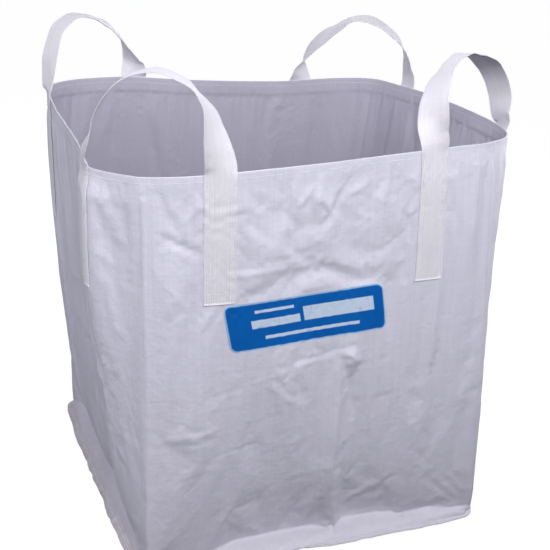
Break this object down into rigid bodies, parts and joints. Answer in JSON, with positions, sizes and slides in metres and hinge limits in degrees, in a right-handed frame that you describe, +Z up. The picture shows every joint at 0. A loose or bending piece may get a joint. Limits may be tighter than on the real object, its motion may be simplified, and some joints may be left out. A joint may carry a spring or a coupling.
{
  "type": "bulk bag",
  "caption": "Open-top woven bulk bag with a square base, a hemmed mouth and a webbing lift loop across each corner.",
  "frame": {"origin": "centre of the underside of the base, on the floor", "axes": "+Z up along the bag's height, -Y towards the front wall with the label, +X towards the right wall"},
  "size_m": [0.9878, 0.9878, 1.2258],
  "materials": {
    "woven_fabric": "woven polypropylene tape fabric, slight sheen",
    "webbing": "ribbed polypropylene webbing",
    "thread": "twisted sewing thread",
    "label_film": "printed film, satin"
  },
  "bodies": {
    "bag": {"body_tube": "woven_fabric", "base_panel": "woven_fabric", "hem_stitching": "thread", "base_seam_stitching": "thread", "front_label": "label_film", "leg_front_left_on_front_wall": "webbing", "leg_front_left_on_left_wall": "webbing", "leg_front_right_on_front_wall": "webbing", "leg_front_right_on_right_wall": "webbing", "leg_back_right_on_back_wall": "webbing", "leg_back_right_on_right_wall": "webbing", "leg_back_left_on_back_wall": "webbing", "leg_back_left_on_left_wall": "webbing", "stitching_front_left_on_front_wall": "thread", "stitching_front_left_on_left_wall": "thread", "stitching_front_right_on_front_wall": "thread", "stitching_front_right_on_right_wall": "thread", "stitching_back_right_on_back_wall": "thread", "stitching_back_right_on_right_wall": "thread", "stitching_back_left_on_back_wall": "thread", "stitching_back_left_on_left_wall": "thread"},
    "front_left_loop": {"lift_loop_front_left": "webbing"},
    "front_right_loop": {"lift_loop_front_right": "webbing"},
    "back_right_loop": {"lift_loop_back_right": "webbing"},
    "back_left_loop": {"lift_loop_back_left": "webbing"}
  },
  "joints": [
    {"name": "front_left_loop_flop", "type": "hinge", "parent": "bag", "child": "front_left_loop", "pos_m": [-0.37082, -0.37082, 1.08], "axis": [0.7071, -0.7071, 0], "range_deg": [-120, 115], "stiffness_Nm_per_rad": 0.12},
    {"name": "front_right_loop_flop", "type": "hinge", "parent": "bag", "child": "front_right_loop", "pos_m": [0.37082, -0.37082, 1.08], "axis": [0.7071, 0.7071, 0], "range_deg": [-120, 115], "stiffness_Nm_per_rad": 0.12},
    {"name": "back_right_loop_flop", "type": "hinge", "parent": "bag", "child": "back_right_loop", "pos_m": [0.37082, 0.37082, 1.08], "axis": [-0.7071, 0.7071, 0], "range_deg": [-120, 115], "stiffness_Nm_per_rad": 0.12},
    {"name": "back_left_loop_flop", "type": "hinge", "parent": "bag", "child": "back_left_loop", "pos_m": [-0.37082, 0.37082, 1.08], "axis": [-0.7071, -0.7071, 0], "range_deg": [-120, 115], "stiffness_Nm_per_rad": 0.12}
  ]
}
